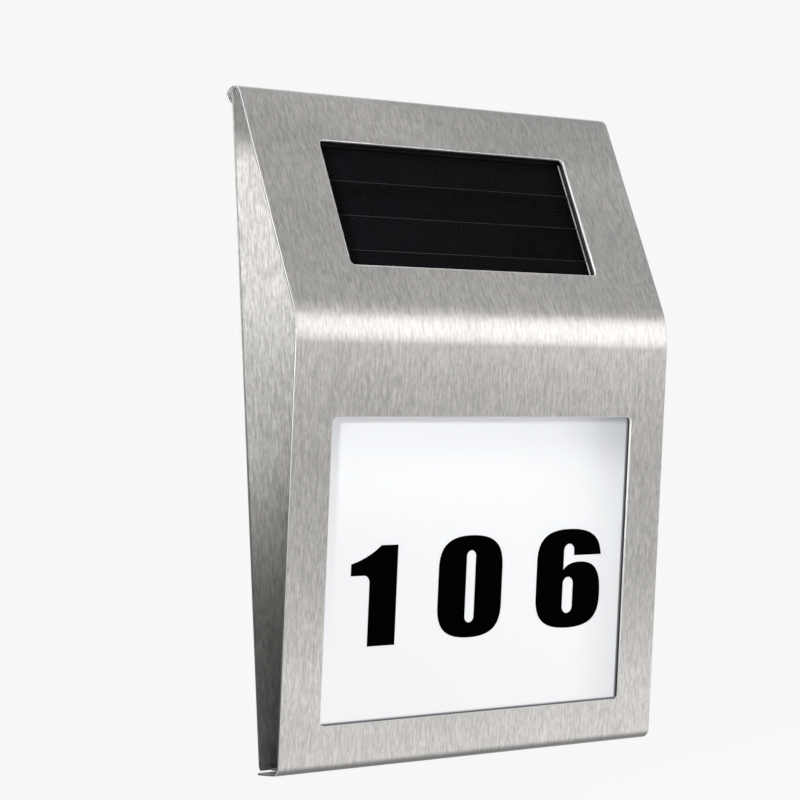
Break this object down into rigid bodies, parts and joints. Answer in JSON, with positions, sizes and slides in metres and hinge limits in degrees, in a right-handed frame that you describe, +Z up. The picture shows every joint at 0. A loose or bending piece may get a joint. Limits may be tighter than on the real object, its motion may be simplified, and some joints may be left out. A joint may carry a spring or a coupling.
{
  "type": "illuminated house number sign",
  "caption": "Folded stainless house number sign: a sloping solar panel above a lit opal window with black digits, hooked on a wall plate.",
  "frame": {"origin": "on the wall, in the middle of the four wall screws", "axes": "+X to the right as seen from in front, +Y into the wall, +Z up; the windows face -Y"},
  "size_m": [0.18, 0.0403, 0.2526],
  "materials": {
    "brushed_stainless": "fine vertical brushing, satin",
    "plain_steel": "bright zinc-plated fasteners",
    "opal_acrylic": "opal white, lit from behind",
    "black_film": "matt black vinyl film",
    "white_plastic": "matt white moulding",
    "white_foil": "matt white reflector foil",
    "black_plastic": "fine-grained black moulding",
    "black_foam": "closed-cell foam",
    "black_rubber": "soft rubber",
    "panel_glass": "clear tempered glass",
    "solar_cell": "dark blue-black cells with thin silver lines",
    "circuit_board": "green solder resist",
    "board_component": "dark moulded components",
    "lamp": "white lamp with yellow phosphor",
    "battery_sleeve": "printed green sleeve without text",
    "contact_spring": "nickel-plated spring steel",
    "wire_insulation": "red and black insulated wire"
  },
  "bodies": {
    "wall_bracket": {"wall_plate": "brushed_stainless"},
    "cover": {"front_cover": "brushed_stainless", "cover_studs": "plain_steel", "stud_nuts": "plain_steel", "lock_screw": "plain_steel", "lock_nut": "plain_steel", "number_lens": "opal_acrylic", "lens_gasket": "black_foam", "digit_one": "black_film", "digit_zero": "black_film", "digit_six": "black_film", "light_tray": "white_plastic", "reflector_sheet": "white_foil", "led_board": "circuit_board", "leds": "lamp", "led_board_screws": "plain_steel", "tray_grommet": "black_rubber", "led_wires": "wire_insulation", "solar_glass": "panel_glass", "solar_cells": "solar_cell", "solar_gasket": "black_foam", "solar_housing": "black_plastic", "housing_seal": "black_rubber", "housing_back": "black_plastic", "housing_screws": "plain_steel", "housing_grommet": "black_rubber", "battery": "battery_sleeve", "battery_contact_plus": "contact_spring", "battery_contact_minus": "contact_spring", "control_board": "circuit_board", "board_parts": "board_component", "board_screws": "plain_steel", "switch_body": "board_component", "solar_wires": "wire_insulation", "battery_wires": "wire_insulation"},
    "switch": {"switch_knob": "black_plastic"},
    "door": {"battery_door": "black_plastic"}
  },
  "joints": [
    {"name": "cover_swing", "type": "hinge", "parent": "wall_bracket", "child": "cover", "pos_m": [0, -0.0057, 0.1223], "axis": [-1, 0, 0], "range_deg": [0, 25]},
    {"name": "power_switch", "type": "slide", "parent": "cover", "child": "switch", "axis": [1, 0, 0], "range_m": [0, 0.003]},
    {"name": "battery_door_slide", "type": "slide", "parent": "cover", "child": "door", "axis": [-1, 0, 0], "range_m": [0, 0.04]}
  ]
}
